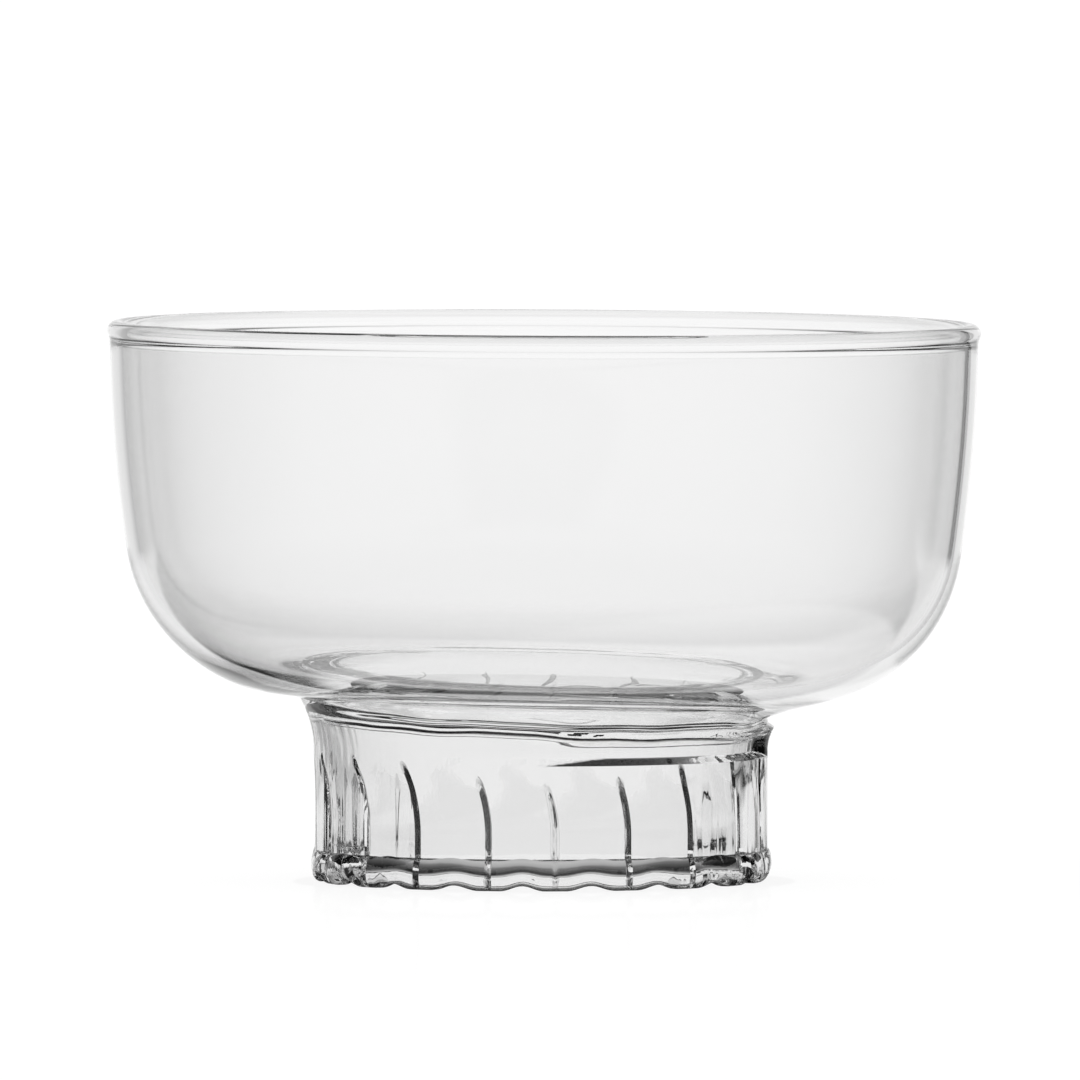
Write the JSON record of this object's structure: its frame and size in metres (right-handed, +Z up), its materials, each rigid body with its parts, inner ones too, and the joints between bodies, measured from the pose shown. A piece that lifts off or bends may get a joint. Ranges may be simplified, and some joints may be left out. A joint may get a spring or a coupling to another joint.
{
  "type": "glass bowl",
  "caption": "Round clear glass dessert bowl with a beaded rim, a deep rounded wall and a welded, fluted hollow foot.",
  "frame": {"origin": "centre of the ring of pads that the foot stands on, on the table", "axes": "+Z up along the bowl's axis of turning, from the table towards the rim; -Y is the front"},
  "size_m": [0.12, 0.12, 0.077],
  "materials": {
    "vessel_glass": "clear, blown, polished",
    "weld_glass": "clear, melted joint, slightly wavy",
    "foot_glass": "clear, fluted, fire-polished bead"
  },
  "bodies": {
    "root": {"vessel": "vessel_glass", "weld_ring": "weld_glass", "fluted_foot": "foot_glass"}
  },
  "joints": []
}
